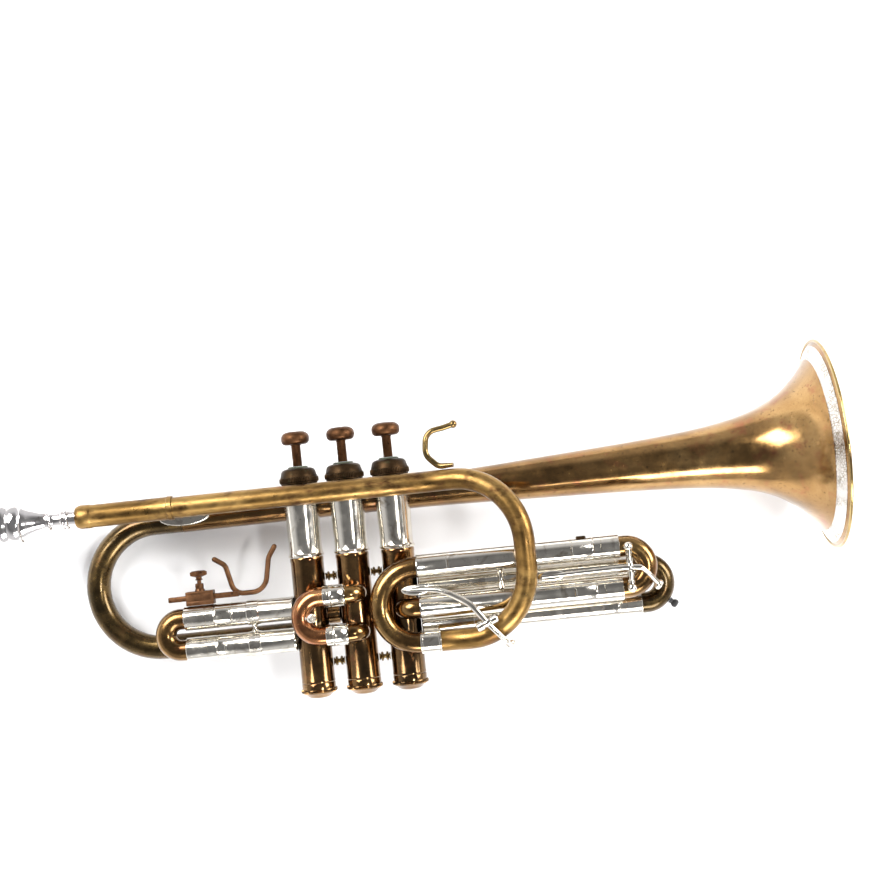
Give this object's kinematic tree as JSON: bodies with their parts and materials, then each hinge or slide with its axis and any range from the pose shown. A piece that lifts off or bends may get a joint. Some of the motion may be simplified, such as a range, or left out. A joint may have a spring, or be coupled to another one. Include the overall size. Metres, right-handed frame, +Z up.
{
  "type": "cornet",
  "caption": "Long-model piston-valve cornet in aged brass and nickel, with sprung valves, pull-out tuning slides, water keys, finger hook, adjustable thumb saddle and mouthpiece.",
  "frame": {"origin": "bottom centre of the instrument's box as it lies on its left side", "axes": "+X towards the bell, +Y up the valves towards the finger buttons, +Z up, out of the side that the right hand sees"},
  "size_m": [0.4876, 0.178, 0.1224],
  "materials": {
    "lacquered_brass": "old lacquer worn to a brown patina, glossy",
    "raw_brass": "bare brass, handled, satin",
    "nickel": "polished nickel silver, slightly tarnished",
    "bronze": "dark red-brown bare metal, dull",
    "spring_steel": "drawn wire",
    "rubber": "matt black"
  },
  "bodies": {
    "body": {"mouthpiece": "nickel", "mouthpiece_receiver": "raw_brass", "leadpipe": "raw_brass", "bow_ferrule": "nickel", "return_crook": "lacquered_brass", "third_valve_inlet_elbow": "lacquered_brass", "tuning_slide_sleeves": "nickel", "third_slide_sleeves": "nickel", "first_slide_sleeves": "nickel", "second_slide_sleeve_upper": "nickel", "second_valve_elbow_upper": "lacquered_brass", "second_slide_sleeve_lower": "nickel", "second_valve_elbow_lower": "lacquered_brass", "bell": "lacquered_brass", "bell_bow": "lacquered_brass", "valve_casing_1": "lacquered_brass", "valve_baluster_1": "nickel", "top_cap_1": "bronze", "bottom_cap_1": "lacquered_brass", "valve_spring_1": "spring_steel", "valve_casing_2": "lacquered_brass", "valve_baluster_2": "nickel", "top_cap_2": "bronze", "bottom_cap_2": "lacquered_brass", "valve_spring_2": "spring_steel", "valve_casing_3": "lacquered_brass", "valve_baluster_3": "nickel", "top_cap_3": "bronze", "bottom_cap_3": "lacquered_brass", "valve_spring_3": "spring_steel", "casing_brace_upper_12": "lacquered_brass", "casing_brace_lower_12": "lacquered_brass", "crossover_tube_12": "lacquered_brass", "casing_brace_upper_23": "lacquered_brass", "casing_brace_lower_23": "lacquered_brass", "crossover_tube_23": "lacquered_brass", "rear_pipe_stay": "nickel", "front_pipe_stay": "nickel", "finger_hook": "lacquered_brass", "bow_key_posts": "nickel"},
    "valve_1": {"piston_1": "nickel", "finger_button_1": "bronze"},
    "valve_2": {"piston_2": "nickel", "finger_button_2": "bronze"},
    "valve_3": {"piston_3": "nickel", "finger_button_3": "bronze"},
    "tuning_slide_body": {"tuning_slide": "lacquered_brass", "crook_key_post_upper": "nickel", "crook_key_post_lower": "nickel"},
    "third_slide_body": {"third_slide": "lacquered_brass", "third_slide_knob": "rubber"},
    "first_slide_body": {"first_slide": "lacquered_brass", "saddle_block": "bronze"},
    "second_slide_body": {"second_slide": "lacquered_brass", "second_slide_knob": "nickel"},
    "thumb_saddle_body": {"thumb_saddle": "bronze"},
    "clamp_screw_body": {"clamp_screw": "bronze"},
    "bow_key_body": {"bow_water_key": "nickel"},
    "crook_key_body": {"crook_water_key": "nickel"}
  },
  "joints": [
    {"name": "valve_1_press", "type": "slide", "parent": "body", "child": "valve_1", "axis": [0, -1, 0], "range_m": [0, 0.0135], "stiffness_N_per_m": 120, "springref_m": -0.012, "deforming": ["valve_spring_1"]},
    {"name": "valve_2_press", "type": "slide", "parent": "body", "child": "valve_2", "axis": [0, -1, 0], "range_m": [0, 0.0135], "stiffness_N_per_m": 120, "springref_m": -0.012, "deforming": ["valve_spring_2"]},
    {"name": "valve_3_press", "type": "slide", "parent": "body", "child": "valve_3", "axis": [0, -1, 0], "range_m": [0, 0.0135], "stiffness_N_per_m": 120, "springref_m": -0.012, "deforming": ["valve_spring_3"]},
    {"name": "tuning_slide_pull", "type": "slide", "parent": "body", "child": "tuning_slide_body", "axis": [0.9921, 0, 0.1252], "range_m": [0, 0.03]},
    {"name": "third_slide_pull", "type": "slide", "parent": "body", "child": "third_slide_body", "axis": [0.9921, 0, 0.1252], "range_m": [0, 0.025]},
    {"name": "first_slide_pull", "type": "slide", "parent": "body", "child": "first_slide_body", "axis": [-0.9921, 0, -0.1252], "range_m": [0, 0.02]},
    {"name": "second_slide_pull", "type": "slide", "parent": "body", "child": "second_slide_body", "axis": [-0.9921, 0, -0.1252], "range_m": [0, 0.006]},
    {"name": "saddle_adjust", "type": "slide", "parent": "first_slide_body", "child": "thumb_saddle_body", "axis": [0.9921, 0, 0.1252], "range_m": [-0.003, 0.006]},
    {"name": "clamp_screw_turn", "type": "hinge", "parent": "first_slide_body", "child": "clamp_screw_body", "pos_m": [-0.13402, -0.01471, 0.03383], "axis": [0, 1, 0], "range_deg": [0, 180]},
    {"name": "bow_key_lift", "type": "hinge", "parent": "body", "child": "bow_key_body", "pos_m": [0.02462, -0.05261, 0.08821], "axis": [0.9165, 0.3829, 0.1156], "range_deg": [-10, 0], "stiffness_Nm_per_rad": 0.03, "springref_deg": 22.92},
    {"name": "crook_key_lift", "type": "hinge", "parent": "tuning_slide_body", "child": "crook_key_body", "pos_m": [0.10731, -0.03051, 0.08867], "axis": [0, 1, 0], "range_deg": [-10, 0], "stiffness_Nm_per_rad": 0.03, "springref_deg": 22.92}
  ]
}
